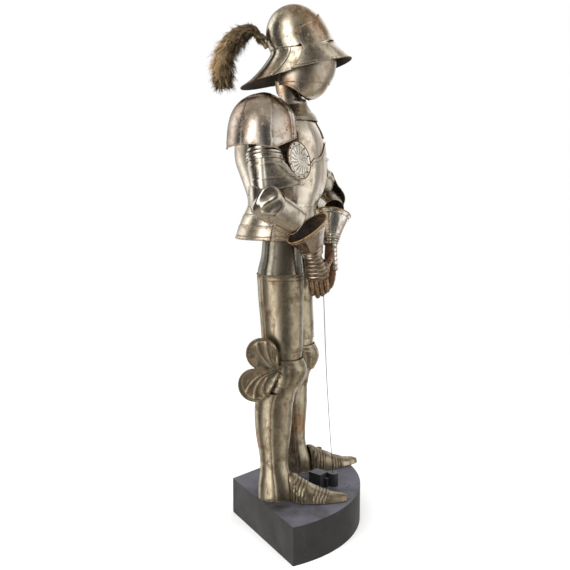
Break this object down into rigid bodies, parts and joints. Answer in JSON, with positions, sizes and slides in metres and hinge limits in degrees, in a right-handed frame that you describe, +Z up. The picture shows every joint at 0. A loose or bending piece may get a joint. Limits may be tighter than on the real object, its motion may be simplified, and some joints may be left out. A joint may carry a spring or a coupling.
{
  "type": "suit of plate armour on a plinth",
  "caption": "Posed empty suit of plate armour with visored sallet, bevor and plume, standing on a low sector-shaped plinth.",
  "frame": {"origin": "on the underside of the plinth, below the middle of the suit's trunk", "axes": "+Z up, -Y the way the suit faces, +X the suit's left"},
  "size_m": [0.824, 0.5677, 1.9389],
  "materials": {
    "steel": "polished plate with rust stains and a yellow-brown patina",
    "leather": "worn brown",
    "feather": "dull grey-brown feathers",
    "plinth_paint": "matt dark grey paint",
    "black_paint": "matt black paint"
  },
  "bodies": {
    "armour": {"plinth": "plinth_paint", "sword_socket": "black_paint", "stay_wire": "steel", "sallet_skull": "steel", "neck_lame": "steel", "tail_plate": "steel", "plume": "feather", "bevor_face": "steel", "bevor_chin": "steel", "gorget": "steel", "breastplate": "steel", "backplate": "steel", "plackart": "steel", "fauld_1": "steel", "fauld_2": "steel", "culet_1": "steel", "culet_2": "steel", "culet_3": "steel", "breast_strap": "leather", "thigh_plate_right": "steel", "cuisse_right": "steel", "cuisse_back_right": "steel", "knee_lame_upper_right": "steel", "poleyn_right": "steel", "poleyn_wing_right": "steel", "knee_lame_lower_right": "steel", "greave_front_right": "steel", "greave_back_right": "steel", "sabaton_right": "steel", "pauldron_right": "steel", "arm_lame_upper_right": "steel", "arm_lame_lower_right": "steel", "rerebrace_right": "steel", "vambrace_right": "steel", "couter_right": "steel", "besagew_right": "steel", "gauntlet_cuff_right": "steel", "glove_right": "leather", "hand_lames_right": "steel", "thigh_plate_left": "steel", "cuisse_left": "steel", "cuisse_back_left": "steel", "knee_lame_upper_left": "steel", "poleyn_left": "steel", "poleyn_wing_left": "steel", "knee_lame_lower_left": "steel", "greave_front_left": "steel", "greave_back_left": "steel", "sabaton_left": "steel", "pauldron_left": "steel", "arm_lame_upper_left": "steel", "arm_lame_lower_left": "steel", "rerebrace_left": "steel", "vambrace_left": "steel", "couter_left": "steel", "besagew_left": "steel", "gauntlet_cuff_left": "steel", "glove_left": "leather", "hand_lames_left": "steel"},
    "visor": {"visor": "steel"}
  },
  "joints": [
    {"name": "visor_pivot", "type": "hinge", "parent": "armour", "child": "visor", "pos_m": [0, -0.011, 1.826], "axis": [-1, 0, 0], "range_deg": [0, 55]}
  ]
}
